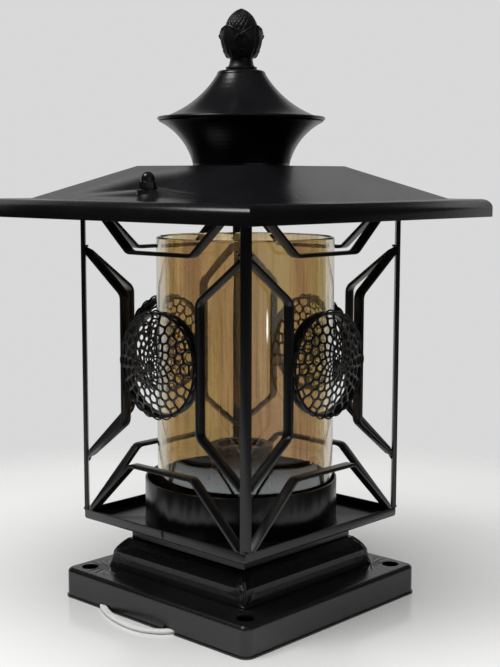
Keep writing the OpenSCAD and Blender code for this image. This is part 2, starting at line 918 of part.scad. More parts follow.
// The lamp holder's lower half, screwed onto the tube, with a boss for the contact block
module holder_cap() {
    boss_r = tube_r + boss_wall;
    foot_r = boss_r + cap_wall;
    color(bakelite)
        difference() {
            union() {
                translate([0, 0, cup_floor])
                    cylinder(r = boss_r, h = boss_h);
                translate([0, 0, cup_floor])
                    rotate_extrude()
                    polygon(concat(
                        [[tube_r + cap_wall, 0]],
                        arc([foot_r, 0], [holder_r, cap_curve_h], -0.7*cap_wall, 6),
                        [
                            [holder_r, cap_h],
                            [holder_r - cap_wall, cap_h],
                            [holder_r - cap_wall, cap_curve_h + cap_wall/2],
                            [boss_r - cap_wall/2, 1.25*cap_wall]
                        ]
                    ));
            }
            translate([0, 0, cup_floor - cut])
                cylinder(r = tube_r, h = tube_rise + cut);
            translate([0, 0, cup_floor])
                cylinder(d = tube_bore_d, h = holder_h);
        }
}

// The lamp holder's upper half: a sleeve round the screw shell, stepped for its ring
module holder_body() {
    step_h = holder_top - cap_top - holder_ring_h - 0.6;
    color(bakelite)
        difference() {
            union() {
                translate([0, 0, cap_top])
                    cylinder(r = holder_r, h = step_h);
                translate([0, 0, cap_top])
                    cylinder(r = holder_r - 1, h = holder_top - cap_top);
            }
            translate([0, 0, cap_top - cut])
                cylinder(r = holder_bore_r, h = holder_h);
        }
}

// The ring that screws onto the top of the lamp holder
module holder_ring() {
    color(bakelite)
        ring(
            holder_r + holder_ring_out,
            holder_r - 1 + running_fit,
            holder_top - holder_ring_h,
            holder_ring_h
        );
}

module screw_shell() {
    color(zinc)
        ring(lamp_bore_d/2 + shell_t, lamp_bore_d/2, shell_z, lamp_bore_h);
}

// The block that carries the contacts and the screw shell
module contact_block() {
    color(white)
        translate([0, 0, block_z])
        difference() {
            cylinder(r = holder_bore_r, h = block_h + contact_rise);
            translate([0, 0, block_h])
                cylinder(r = lamp_bore_d/2 - 1, h = contact_rise + cut);
        }
}

// A sprung tongue that meets the middle of the lamp's cap
module centre_contact() {
    reach = 0.34*lamp_bore_d;
    path = [
        [-reach, contact_t/2],
        [-0.45*reach, contact_t/2],
        [0.11*reach, contact_rise - contact_t],
        [0.45*reach, contact_rise - 2.6*contact_t]
    ];
    color(brass)
        translate([0, 0, block_z + block_h])
        rotate([90, 0, 0])
        linear_extrude(contact_w, center = true)
        ribbon(bent(path, 3*contact_t), contact_t);
}

module tube() {
    color(brass)
        ring(tube_r, tube_bore_d/2, tube_bottom, tube_top - tube_bottom);
}

module tube_washer() {
    color(zinc)
        ring(tube_r + 4, tube_r, tube_washer_z, tube_washer_t);
}

module tube_nut() {
    color(brass)
        hex_nut(tube_d + 4, tube_r, tube_nut_z, tube_nut_h);
}

// A bush that keeps the tube's cut end off the cord
module tube_bush() {
    bush_r = tube_bore_d/2 - bush_t;
    color(white) {
        ring(tube_r + 0.8, bush_r, tube_bottom - bush_flange, bush_flange);
        ring(tube_bore_d/2, bush_r, tube_bottom - bush_flange, bush_flange + 4.5);
    }
}

// A point on the smooth curve through a, b, c and d, between b and c
function between(a, b, c, d, t) =
    0.5*(2*b + (c - a)*t + (2*a - 5*b + 4*c - d)*t*t + (3*b - a - 3*c + d)*t*t*t);

// The route's smooth centreline
function centreline(points, steps) =
    let(last = len(points) - 1)
    concat(
        [for (i = [0:last - 1], k = [0:steps - 1])
            between(points[max(i - 1, 0)], points[i], points[i + 1], points[min(i + 2, last)], k/steps)],
        [points[last]]
    );

// The flat cord: rings of a flattened round, with their wide side level
module cord() {
    line = centreline(route, route_steps);
    last = len(line) - 1;
    rings = [
        for (i = [0:last])
            let(
                along = i == 0 ? [0, 0, -1] : unit(line[min(i + 1, last)] - line[i - 1]),
                ahead = i == 0 ? line[1] - line[0] : line[min(i + 1, last)] - line[i - 1],
                wide = unit([-ahead[1], ahead[0], 0]),
                thick = cross(along, wide)
            )
            for (k = [0:cord_sides - 1])
                let(
                    turn = (k + 0.5)*360/cord_sides,
                    x = (cord_w - cord_t)/2*sign(cos(turn)) + cord_t/2*cos(turn)/cos(180/cord_sides),
                    y = cord_t/2*sin(turn)/cos(180/cord_sides)
                )
                line[i] + wide*x + thick*y
    ];
    sides = [
        for (i = [0:last - 1], k = [0:cord_sides - 1])
            let(a = i*cord_sides + k, b = i*cord_sides + (k + 1)%cord_sides)
            each [[a, b, b + cord_sides], [a, b + cord_sides, a + cord_sides]]
    ];
    start = [for (k = [cord_sides - 1:-1:0]) k];
    finish = [for (k = [0:cord_sides - 1]) last*cord_sides + k];
    color(white)
        polyhedron(rings, concat([start], sides, [finish]));
}

base_shell();
neck_box();
tray();
glass_cup();
post(0);  // post_front_right
post(90);  // post_back_right
post(180);  // post_back_left
post(270);  // post_front_left
cross_brace(0, 1);  // top_brace_front
cross_brace(90, 1);  // top_brace_right
cross_brace(180, 1);  // top_brace_back
cross_brace(270, 1);  // top_brace_left
cross_brace(0, -1);  // bottom_brace_front
cross_brace(90, -1);  // bottom_brace_right
cross_brace(180, -1);  // bottom_brace_back
cross_brace(270, -1);  // bottom_brace_left
side_brace(0, -1);  // side_brace_front_a
side_brace(90, -1);  // side_brace_right_a
side_brace(180, -1);  // side_brace_back_a
side_brace(270, -1);  // side_brace_left_a
side_brace(0, 1);  // side_brace_front_b
side_brace(90, 1);  // side_brace_right_b
side_brace(180, 1);  // side_brace_back_b
side_brace(270, 1);  // side_brace_left_b
hoop(0);  // hoop_front
hoop(90);  // hoop_right
hoop(180);  // hoop_back
hoop(270);  // hoop_left
medallion(0);  // medallion_front
medallion(90);  // medallion_right
medallion(180);  // medallion_back
medallion(270);  // medallion_left
top_plate();
roof_studs();
roof();
dome_nut(-stud_out);  // dome_nut_front
dome_nut(stud_out);  // dome_nut_back
chimney_flare();
chimney_lid();
finial();
finial_rod();
rod_washer();
rod_nut();
glass();
holder_cap();
holder_body();
holder_ring();
screw_shell();
contact_block();
centre_contact();
tube();
tube_washer();
tube_nut();
tube_bush();
cord();
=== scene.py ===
import json
import math

import bmesh
import bpy
import numpy as np
from mathutils import Matrix, Vector


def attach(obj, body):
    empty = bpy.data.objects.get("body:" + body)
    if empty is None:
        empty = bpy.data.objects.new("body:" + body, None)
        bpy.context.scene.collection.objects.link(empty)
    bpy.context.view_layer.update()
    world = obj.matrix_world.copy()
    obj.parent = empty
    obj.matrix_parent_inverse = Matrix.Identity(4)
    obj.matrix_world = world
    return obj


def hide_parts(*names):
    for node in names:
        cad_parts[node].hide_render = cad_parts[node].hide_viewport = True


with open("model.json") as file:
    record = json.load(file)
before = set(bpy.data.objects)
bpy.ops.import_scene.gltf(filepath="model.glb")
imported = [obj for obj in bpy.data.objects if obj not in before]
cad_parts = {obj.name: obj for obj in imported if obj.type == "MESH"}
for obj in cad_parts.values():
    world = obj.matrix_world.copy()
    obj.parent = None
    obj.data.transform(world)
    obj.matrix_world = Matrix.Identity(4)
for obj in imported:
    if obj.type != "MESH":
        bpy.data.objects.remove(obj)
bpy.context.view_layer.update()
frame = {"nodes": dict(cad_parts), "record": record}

nodes = frame["nodes"]
bodyOf = {node: body for body, members in frame["record"]["behaviour"]["bodies"].items() for node in members}
slotOf = {part["node"]: part["material_slot"] for part in frame["record"]["subparts"]}
mm = 0.001


# camera: a portrait frame, looking at the corner between the front and right faces
view = {
    "azimuth": 43.035, "pitch": 7.262, "roll": 0.110,  # degrees
    "location": (0.494614, -0.522109, 0.249013),
    "lens": 66.93, "sensor": 36.0,
}


def addCamera():
    az, pitch, roll = (math.radians(view[k]) for k in ("azimuth", "pitch", "roll"))
    back = Vector((math.sin(az) * math.cos(pitch), -math.cos(az) * math.cos(pitch), math.sin(pitch)))
    right = Vector((math.cos(az), math.sin(az), 0))
    up = back.cross(right)
    x = right * math.cos(roll) + up * math.sin(roll)
    y = up * math.cos(roll) - right * math.sin(roll)
    data = bpy.data.cameras.new("camera")
    data.lens, data.sensor_width = view["lens"], view["sensor"]
    data.clip_start, data.clip_end = 0.01, 50
    camera = bpy.data.objects.new("camera", data)
    bpy.context.scene.collection.objects.link(camera)
    camera.matrix_world = Matrix.Translation(view["location"]) @ Matrix((x, y, back)).transposed().to_4x4()
    bpy.context.scene.camera = camera


addCamera()
print("camera placed")


# mesh helpers: every piece is a numpy grid put straight into a mesh
def newPiece(name, points, faces, smoothAngle=None):
    mesh = bpy.data.meshes.new(name)
    mesh.from_pydata(points.reshape(-1, 3).tolist(), [], faces.tolist())
    mesh.polygons.foreach_set("use_smooth", np.ones(len(mesh.polygons), bool))
    if smoothAngle:
        mesh.set_sharp_from_angle(angle=math.radians(smoothAngle))
    mesh.update()
    piece = bpy.data.objects.new(name, mesh)
    bpy.context.scene.collection.objects.link(piece)
    return piece


def closeMesh(piece, merge=0.0, caps=()):
    # points closer than merge become one, the points of each cap get a face, and all faces turn outwards
    mesh = bmesh.new()
    mesh.from_mesh(piece.data)
    if merge:
        bmesh.ops.remove_doubles(mesh, verts=mesh.verts, dist=merge)
    mesh.verts.ensure_lookup_table()
    for cap in caps:
        mesh.faces.new([mesh.verts[k] for k in cap])
    bmesh.ops.recalc_face_normals(mesh, faces=mesh.faces)
    mesh.to_mesh(piece.data)
    mesh.free()


def endCaps(rows, cols):
    # the point numbers of a grid's first and last rows
    return [range(cols), range((rows - 1) * cols, rows * cols)]


def gridFaces(rows, cols, closeRows=False, closeCols=False):
    # quads between neighbouring rows and columns, wrapping round where a direction is closed
    i = np.arange(rows if closeRows else rows - 1)[:, None]
    j = np.arange(cols if closeCols else cols - 1)[None, :]
    below, beside = (i + 1) % rows, (j + 1) % cols
    quads = np.stack([i * cols + j, i * cols + beside, below * cols + beside, below * cols + j], -1)
    return quads.reshape(-1, 4)


def repeatFaces(one, count, size):
    # the same faces for each of count copies of a shape that has size points
    return (one[None] + (np.arange(count) * size)[:, None, None]).reshape(-1, 4)


def smoothStep(low, high, x):
    # 0 below low, 1 above high, eased between
    t = np.clip((x - low) / (high - low), 0, 1)
    return t * t * (3 - 2 * t)


def splineThrough(points, steps):
    # Catmull-Rom: each stretch between two points bends by the points before and after it
    p = np.asarray(points, float)
    ends = np.vstack([p[:1], p, p[-1:]])
    a, b, c, d = ends[:-3], ends[1:-2], ends[2:-1], ends[3:]
    t = np.linspace(0, 1, steps, endpoint=False)[None, :, None]
    a, b, c, d = (q[:, None, :] for q in (a, b, c, d))
    line = 0.5 * (2 * b + (c - a) * t + (2 * a - 5 * b + 4 * c - d) * t**2 + (3 * b - a - 3 * c + d) * t**3)
    return np.vstack([line.reshape(-1, 3), p[-1:]])


# the flat white cord, from the lamp holder down the tube, under the base and out in front, in mm
cordSizes = {
    "width": 4.2, "thickness": 2.3, "lift": 1.3, "steps": 6, "sides": 20, "groove": 0.32, "grooveWide": 0.5,
    "holder": [
        (0, 0, 58.9), (-0.2, 0, 46), (-0.4, 0, 32), (-0.8, 0, 20), (-2.4, 0, 11), (-7, 0, 5), (-14, 1, 2),
    ],
    "table": [
        (-24, 2), (-38, 0), (-50, -8), (-58, -22), (-60, -38), (-56, -54), (-47, -67), (-36, -76), (-20, -82),
        (-3, -84), (9, -81), (17, -74), (22, -60), (24, -44), (32, -28), (46, -16), (56, 2), (56, 24),
        (44, 44), (24, 55), (0, 58), (-24, 54), (-42, 42),
    ],
}


def makeCord():
    # a flattened round with a groove along each broad side, carried along the route with its broad side level
    s = cordSizes
    route = s["holder"] + [(x, y, s["lift"]) for x, y in s["table"]]
    line = splineThrough(route, s["steps"])
    ahead = np.gradient(line, axis=0)
    ahead[0] = ahead[1]
    along = ahead / np.linalg.norm(ahead, axis=1, keepdims=True)
    wide = np.stack([-along[:, 1], along[:, 0], np.zeros(len(line))], 1)
    wide /= np.maximum(np.linalg.norm(wide, axis=1, keepdims=True), 1e-9)
    wide[0] = wide[1]
    thick = np.cross(along, wide)
    turn = (np.arange(s["sides"]) + 0.5) * 2 * math.pi / s["sides"]
    half = (s["width"] - s["thickness"]) / 2
    across = half * np.sign(np.cos(turn)) + s["thickness"] / 2 * np.cos(turn)
    groove = 1 - s["groove"] * np.exp(-((across / s["grooveWide"]) ** 2))
    deep = s["thickness"] / 2 * np.sin(turn) * groove
    points = line[:, None] + wide[:, None] * across[None, :, None] + thick[:, None] * deep[None, :, None]
    size = len(line), s["sides"]
    piece = newPiece("cordLead", points * mm, gridFaces(*size, closeCols=True))
    closeMesh(piece, caps=endCaps(*size))
    length = np.linalg.norm(np.diff(line, axis=0), axis=1).sum() * mm
    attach(piece, "lantern")
    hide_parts("cord")
    print("cord laid, %.3f m" % length)
    return piece


cordLead = makeCord()


# shader maths: a wired socket does sums, and one method adds any other node
class Wire:
    def __init__(self, tree, socket=None):
        self.tree, self.socket = tree, socket

    def make(self, kind, settings=None, inputs=None, out=0):
        node = self.tree.nodes.new(kind)
        for key, value in (settings or {}).items():
            setattr(node, key, value)
        for key, value in (inputs or {}).items():
            if isinstance(value, Wire):
                self.tree.links.new(value.socket, node.inputs[key])
            else:
                node.inputs[key].default_value = value
        return Wire(self.tree, node.outputs[out])

    def sum(self, operation, a, b=0.0):
        return self.make("ShaderNodeMath", {"operation": operation}, {0: a, 1: b})

    def one(self, operation):  # a sum on this value alone, such as its sine
        return self.sum(operation, self)

    def __add__(self, other):
        return self.sum("ADD", self, other)

    def __mul__(self, other):
        return self.sum("MULTIPLY", self, other)

    def __sub__(self, other):
        return self.sum("SUBTRACT", self, other)

    def __rsub__(self, other):
        return self.sum("SUBTRACT", other, self)

    def __truediv__(self, other):
        return self.sum("DIVIDE", self, other)

    def __pow__(self, other):
        return self.sum("POWER", self, other)

    __radd__, __rmul__ = __add__, __mul__

    def between(self, low, high):  # 0 below low, 1 above high, eased between
        return self.make("ShaderNodeMapRange", {"interpolation_type": "SMOOTHSTEP"},
                         {"Value": self, "From Min": low, "From Max": high})

    def noise(self, scale, detail=2.0, rough=0.5, stretch=(1, 1, 1)):
        spread = self.make("ShaderNodeMapping", None, {"Vector": self, "Scale": stretch})
        return self.make("ShaderNodeTexNoise", None,
                         {"Vector": spread, "Scale": scale, "Detail": detail, "Roughness": rough})

    def blend(self, dark, light):  # a colour between two, by this value
        return self.make("ShaderNodeMix", {"data_type": "RGBA"}, {0: self, 6: dark, 7: light}, 2)

    def bump(self, strength, distance, normal=None):
        inputs = {"Height": self, "Strength": strength, "Distance": distance}
        if normal is not None:
            inputs["Normal"] = normal
        return self.make("ShaderNodeBump", None, inputs)

    def parts(self):  # the x, y and z of a vector
        split = self.make("ShaderNodeSeparateXYZ", None, {"Vector": self})
        return [Wire(self.tree, socket) for socket in split.socket.node.outputs]

    def length(self):
        return self.make("ShaderNodeVectorMath", {"operation": "LENGTH"}, {0: self}, 1)

    def mix(self, first, second):  # a mix of two shaders, by this value
        return self.make("ShaderNodeMixShader", None, {0: self, 1: first, 2: second})

    def show(self, end="Material Output"):  # this shader is what the surface or the world shows
        self.tree.links.new(self.socket, self.tree.nodes[end].inputs["Surface"])


def newMaterial(name):
    material = bpy.data.materials.new(name)
    material.use_nodes = True
    tree = material.node_tree
    surface = tree.nodes["Principled BSDF"]
    place = Wire(tree).make("ShaderNodeTexCoord", out=3)
    return material, tree, surface, place


def feed(tree, surface, wires, values):
    for key, wire in wires.items():
        tree.links.new(wire.socket, surface.inputs[key])
    for key, value in values.items():
        surface.inputs[key].default_value = value


def grey(level, blue=1.0):
    return (level, level, level * blue, 1)


# black paints: the two ends of the tone, gloss, and how much skin and dust each shows
paints = {
    "cage": {"dark": grey(0.0032, 1.15), "light": grey(0.0075, 1.1),
             "rough": 0.3, "peel": 0.12, "gloss": 0.5, "dust": 0.3},
    "base": {"dark": grey(0.0036, 1.2), "light": grey(0.0085, 1.12),
             "rough": 0.27, "peel": 0.14, "gloss": 0.7, "dust": 0.5},
    "roof": {"dark": grey(0.003, 1.2), "light": grey(0.007, 1.12),
             "rough": 0.25, "peel": 0.16, "gloss": 0.5, "dust": 0.4},
    "nut": {"dark": grey(0.004), "light": grey(0.009),
            "rough": 0.22, "peel": 0.08, "gloss": 0.6, "dust": 0.15},
}
# noise scales are per metre, here and in the other finishes
paintSkin = {"tone": 14, "peel": 620, "grain": 2600, "dust": 1500, "patches": 45, "depth": 0.25 * mm,
             "dustTone": (0.05, 0.05, 0.048, 1)}
creaseSizes = {"corner": 55.3 * mm, "reach": 19 * mm, "rays": 15, "sway": 0.8, "bend": 70, "breaks": 90,
               "strength": 0.5, "depth": 0.6 * mm}


def drawCreases(place):
    # the sheet puckers in short rays about each corner of the plinth, where it was drawn deepest
    s = creaseSizes
    x, y, _ = place.parts()
    dx, dy = x.one("ABSOLUTE") - s["corner"], y.one("ABSOLUTE") - s["corner"]
    far = (dx * dx + dy * dy) ** 0.5
    turn = dx.sum("ARCTAN2", dy, dx) + place.noise(s["bend"], 1) * s["sway"]
    near = 1 - far.between(s["reach"] * 0.3, s["reach"])
    return (turn * s["rays"]).one("SINE") * near * place.noise(s["breaks"], 1).between(0.35, 0.6)


def blackPaint(name, creases=False):
    # sprayed black: a slow change of tone, fine orange peel, and a scatter of dust
    p, s = paints[name], paintSkin
    material, tree, surface, place = newMaterial(name + "Paint")
    slow = place.noise(s["tone"], 3, 0.55)
    peel = place.noise(s["peel"], 2, 0.5)
    grain = place.noise(s["grain"], 2, 0.6)
    dust = place.noise(s["dust"], 3, 0.7).between(0.66, 0.76)
    dust = dust * place.noise(s["patches"], 2).between(0.42, 0.7)
    tone = slow.between(0.3, 0.7) * 0.7 + grain * 0.3
    colour = (dust * p["dust"]).blend(tone.blend(p["dark"], p["light"]), s["dustTone"])
    rough = p["rough"] + (slow - 0.5) * 0.16 + (grain - 0.5) * 0.1 + dust * 0.25
    normal = (peel + grain * 0.25).bump(p["peel"], s["depth"])
    if creases:
        normal = drawCreases(place).bump(creaseSizes["strength"], creaseSizes["depth"], normal)
    feed(tree, surface, {"Base Color": colour, "Roughness": rough, "Normal": normal},
         {"Specular IOR Level": p["gloss"]})
    return material


castSkin = {"lumps": 420, "grain": 2200, "dark": grey(0.004), "light": grey(0.011), "rough": 0.3, "bump": 0.3,
            "depth": 0.3 * mm, "gloss": 0.5}


def castBlack():
    # cast and sprayed: coarser skin than the sheet, paler where the lumps stand up
    s = castSkin
    material, tree, surface, place = newMaterial("castBlack")
    lumps = place.noise(s["lumps"], 4, 0.6)
    grain = place.noise(s["grain"], 3, 0.6)
    colour = (lumps.between(0.45, 0.7) * 0.6).blend(s["dark"], s["light"])
    rough = s["rough"] + grain * 0.16 + lumps * 0.06
    normal = (lumps + grain * 0.4).bump(s["bump"], s["depth"])
    feed(tree, surface, {"Base Color": colour, "Roughness": rough, "Normal": normal},
         {"Specular IOR Level": s["gloss"]})
    return material


plateSkin = {"cloud": 160, "lines": 900, "stretch": (0.15, 0.15, 6), "spots": 700, "bump": 0.15,
             "depth": 0.2 * mm}


def plating(name, tint, dull, rough):
    # plated or turned metal: cloudy tone, fine turning lines round Z, and spots of tarnish
    s = plateSkin
    material, tree, surface, place = newMaterial(name)
    cloud = place.noise(s["cloud"], 3, 0.6)
    lines = place.noise(s["lines"], 2, 0.5, s["stretch"])
    spots = place.noise(s["spots"], 2).between(0.62, 0.72)
    colour = (cloud * 0.5 + spots * 0.4).blend(tint, dull)
    feed(tree, surface, {"Base Color": colour, "Roughness": rough + cloud * 0.16 + spots * 0.15,
                         "Normal": lines.bump(s["bump"], s["depth"])}, {"Metallic": 1.0})
    return material


mouldSkin = {"flow": 60, "stretch": (1, 1, 0.35), "skin": 1400, "depth": 0.2 * mm}


def moulded(name, dark, light, rough, peel, sheen=0.5):
    # moulded plastic, phenolic or ceramic: faint flow marks and a slight skin
    s = mouldSkin
    material, tree, surface, place = newMaterial(name)
    flow = place.noise(s["flow"], 4, 0.6, s["stretch"])
    skin = place.noise(s["skin"], 2)
    colour = (flow.between(0.35, 0.7) * 0.8 + skin * 0.2).blend(dark, light)
    feed(tree, surface, {"Base Color": colour, "Roughness": rough + skin * 0.08 + flow * 0.06,
                         "Normal": (skin + flow).bump(peel, s["depth"])}, {"Specular IOR Level": sheen})
    return material


glassLook = {
    "pale": (0.95, 0.76, 0.49, 1), "deep": (0.52, 0.37, 0.21, 1), "olive": (0.70, 0.62, 0.29, 1),
    # rim is the pale cream of the painted reflection at the glancing edge
    "rose": (0.72, 0.53, 0.40, 1), "line": (0.34, 0.25, 0.15, 1), "rim": (0.99, 0.95, 0.84, 1),
    "shadow": (0.80, 0.68, 0.46, 1), "lustre": (0.84, 0.94, 1.0, 1), "share": 0.15, "mirrorRough": 0.03,
    # noise scale, detail, roughness and stretch of what runs up the glass
    "streak": (135, 3, 0.55, (1, 1, 0.05)), "broad": (38, 2, 0.5, (1, 1, 0.1)),
    "warm": (27, 1, 0.5, (1, 1, 0.15)), "fine": (460, 2, 0.5, (1, 1, 0.025)),
    "wave": (46, 2, 0.5, (1, 1, 0.08)), "bump": 0.16, "depth": 0.7 * mm, "rough": 0.012, "ior": 1.5,
    "middle": (1.768 * mm, 1.768 * mm, 0), "outside": 50.6 * mm, "skin": 0.2 * mm,
}


def amberGlass():
    # lustre glass: upright streaks of amber, olive and rose in the tint, thin dark draw lines, a painted
    # reflection that pales the tint to cream towards the glancing edge, and a share of cool mirror over its
    # outer side
    g = glassLook
    material, tree, surface, place = newMaterial("amberGlass")
    streak, broad, warm = (place.noise(*g[k]) for k in ("streak", "broad", "warm"))
    fine, wave = (place.noise(*g[k]) for k in ("fine", "wave"))
    tone = streak.between(0.36, 0.64) * 0.62 + fine.between(0.35, 0.65) * 0.16
    colour = (tone + broad.between(0.35, 0.65) * 0.22).blend(g["deep"], g["pale"])
    colour = (broad.between(0.48, 0.62) * 0.7).blend(colour, g["olive"])
    colour = (warm.between(0.50, 0.64) * 0.6).blend(colour, g["rose"])
    colour = (fine.between(0.60, 0.67) * 0.6).blend(colour, g["line"])
    # painted reflection: the tint turns pale cream where the glass is seen at a glancing angle
    edge = place.make("ShaderNodeLayerWeight", None, {"Blend": 0.5}, 1)
    colour = edge.between(0.47, 0.52).blend(colour, g["rim"])
    normal = (wave + fine * 0.12).bump(g["bump"], g["depth"])
    feed(tree, surface, {"Base Color": colour, "Normal": normal},
         {"Roughness": g["rough"], "Transmission Weight": 1.0, "IOR": g["ior"]})
    mirror = place.make("ShaderNodeBsdfAnisotropic", None,
                        {"Color": g["lustre"], "Roughness": g["mirrorRough"], "Normal": normal})
    flat = place.make("ShaderNodeVectorMath", {"operation": "SUBTRACT"}, {0: place, 1: g["middle"]})
    flat = flat.make("ShaderNodeVectorMath", {"operation": "MULTIPLY"}, {0: flat, 1: (1, 1, 0)})
    outside = flat.length().between(g["outside"] - g["skin"], g["outside"])
    coated = (outside * g["share"]).mix(Wire(tree, surface.outputs[0]), mirror)
    clear = place.make("ShaderNodeBsdfTransparent", None, {"Color": g["shadow"]})
    place.make("ShaderNodeLightPath", out=1).mix(coated, clear).show()
    return material


looks = {
    "cage_black": blackPaint("cage"),
    "base_black": blackPaint("base", creases=True),
    "roof_black": blackPaint("roof"),
    "black_nut": blackPaint("nut"),
    "cast_black": castBlack(),
    "zinc": plating("zincPlate", (0.60, 0.62, 0.65, 1), (0.34, 0.34, 0.33, 1), 0.26),
    "brass": plating("brassTurned", (0.74, 0.56, 0.27, 1), (0.42, 0.28, 0.11, 1), 0.22),
    "bakelite": moulded("bakelite", (0.008, 0.008, 0.009, 1), (0.018, 0.017, 0.017, 1), 0.2, 0.05),
    "ceramic": moulded("ceramicGlaze", (0.70, 0.68, 0.62, 1), (0.84, 0.82, 0.77, 1), 0.12, 0.04, 0.6),
    "white_plastic": moulded("whitePlastic", (0.72, 0.72, 0.70, 1), (0.82, 0.82, 0.80, 1), 0.38, 0.06),
    "cord_white": moulded("cordPlastic", (0.74, 0.74, 0.72, 1), (0.86, 0.86, 0.84, 1), 0.4, 0.08),
    "amber_glass": amberGlass(),
}


def dress(piece, slot):
    piece.data.materials.clear()
    piece.data.materials.append(looks[slot])
    return piece


for node, piece in nodes.items():
    dress(piece, slotOf[node])
dress(cordLead, "cord_white")
print("materials made")


def stand(piece, node):
    # the piece takes the body, the finish and the place of the node it stands for
    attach(piece, bodyOf[node])
    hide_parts(node)
    return dress(piece, slotOf[node])


# sheet and bar pieces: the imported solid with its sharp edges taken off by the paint, widths in mm by name
edgeSizes = {
    "post": 0.28, "brace": 0.25, "hoop": 0.25, "top_plate": 0.3, "neck_box": 0.5, "tray": 0.35,
    "glass_cup": 0.35, "roof": 0.3, "dome_nut": 0.3, "rod_nut": 0.3, "rod_washer": 0.25, "holder_cap": 0.25,
    "holder_body": 0.3, "holder_ring": 0.4, "contact_block": 0.3, "tube_nut": 0.3, "tube_washer": 0.25,
}
edgeAngles = {"flat": 0.4, "sharp": 38}  # degrees: flatter facets are joined, sharper edges are rounded


def softEdges(node, width):
    # a copy of the node, merged, its flat facets joined, with a small round on every edge
    data = nodes[node].data.copy()
    mesh = bmesh.new()
    mesh.from_mesh(data)
    bmesh.ops.remove_doubles(mesh, verts=mesh.verts, dist=2e-6)
    bmesh.ops.dissolve_limit(mesh, verts=mesh.verts, edges=mesh.edges,
                             angle_limit=math.radians(edgeAngles["flat"]))
    mesh.to_mesh(data)
    mesh.free()
    data.polygons.foreach_set("use_smooth", np.ones(len(data.polygons), bool))
    piece = bpy.data.objects.new("soft_" + node, data)
    bpy.context.scene.collection.objects.link(piece)
    bevel = piece.modifiers.new("edge", "BEVEL")
    bevel.width, bevel.segments = width * mm, 2
    bevel.limit_method, bevel.angle_limit = "ANGLE", math.radians(edgeAngles["sharp"])
    bevel.harden_normals = True
    bevel.use_clamp_overlap = True
    return stand(piece, node)


for node in nodes:
    for start, width in edgeSizes.items():
        if start in node:
            softEdges(node, width)
            break
print("edges softened")


# medallions: a dome pierced with rings of holes, every web between them rounded like wire, in mm
medallionSizes = {
    "count": 12, "rings": 10, "ringR": 25.9, "step": 2.65, "share": 0.25,  # rings of holes, rim inwards
    "hole": 4.7, "holeShare": 0.53, "rimHole": 1.35,  # widths of the holes, the outermost wider by a factor
    "slotR": 26.9, "slot": 1.55,  # slots between the outermost holes
    "domeR": 27.2, "rise": 5.0, "thick": 1.0, "ease": 0.12,  # the dome, and how softly it meets the border
    "web": 1.3, "webShare": 0.34, "soft": 6, "roundIn": 0.42, "bite": 0.75,  # webs and their round edges
    "bandR": 29.2, "lap": 0.05,  # the plain band round the holes, and how far the wire laps over it
    "scallops": 24, "scallopR": 24.4, "scallop": 6.2, "edge": 1.0, "edgeRound": 1.15,  # the wire's row of arcs
    "flower": 2.8, "petals": 12, "petal": 0.3, "button": 0.45, "buttonR": 1.1,  # the middle
    "faceOut": 66.4, "middle": 146.0,  # the border's distance from the lantern's axis, and its height
    "sides": 40, "steps": 4, "crowd": 1.4, "scallopSides": 18, "flowerRings": 14,  # points round and across
    "far": 1e6,  # stands for a hole's distance to itself
}


def medallionHoles():
    # centre and half width of every hole: rings that step inward, each turned half a pitch from the last,
    # then the slots along the rim, and last the flower in the middle
    s = medallionSizes
    pitch = 2 * math.pi / s["count"]
    r, half, turn = [], [], []
    ringR = s["ringR"]
    for k in range(s["rings"]):
        r.append(ringR)
        half.append(min(s["hole"], s["holeShare"] * ringR * pitch) / 2 * (s["rimHole"] if k == 0 else 1))
        turn.append((np.arange(s["count"]) + (k + 1) / 2) * pitch)
        ringR -= min(s["step"], s["share"] * ringR)
    r.append(s["slotR"])
    half.append(s["slot"] / 2)
    turn.append(np.arange(s["count"]) * pitch)
    r, half, turn = np.repeat(r, s["count"]), np.repeat(half, s["count"]), np.concatenate(turn)
    centre = np.stack([r * np.cos(turn), r * np.sin(turn)], -1)
    return np.vstack([centre, [[0, 0]]]), np.append(half, s["flower"]), np.append(turn, 0)


def towards(centre, half, u):
    # for each hole and direction: the distance to the line shared with every other hole, where the two holes
    # have equal power, as its inverse along the direction
    d = centre[None] - centre[:, None]
    length = np.linalg.norm(d, axis=-1) + np.eye(len(centre)) * medallionSizes["far"]
    line = (length**2 + half[:, None] ** 2 - half[None] ** 2) / (2 * length)
    return line, np.einsum("nad,nmd->nam", u, d / length[..., None])


def outerReach(centre, u, radius):
    # the distance from each centre along each direction to a circle round the middle
    along = np.einsum("nad,nd->na", u, centre)
    return -along + np.sqrt(np.maximum(along**2 + radius**2 - (centre**2).sum(-1)[:, None], 0))


def cellRims(centre, half, a):
    # outer edge: the nearest shared line or the band's circle. Inner edge, the hole's rim: the same lines
    # drawn in by half a web, or by a share in the small rings, and blended by a power sum, for round corners
    s = medallionSizes
    u = np.stack([np.cos(a), np.sin(a)], -1)
    line, facing = towards(centre, half, u)
    facing = np.maximum(facing, 1e-6)
    reach = (line[:, None] / facing).min(-1)
    rim = outerReach(centre, u, s["bandR"])
    bite = np.maximum(outerReach(centre, u, s["domeR"] + s["bite"]), 0.1)
    half = np.minimum(s["web"] / 2, s["webShare"] * np.abs(line))
    inner = (facing / (line - half)[:, None]) ** s["soft"]
    inner = (inner.sum(-1) + bite ** -float(s["soft"])) ** (-1 / s["soft"])
    return u, inner, np.minimum(reach, rim), (line[:, None] / facing).argmin(-1)


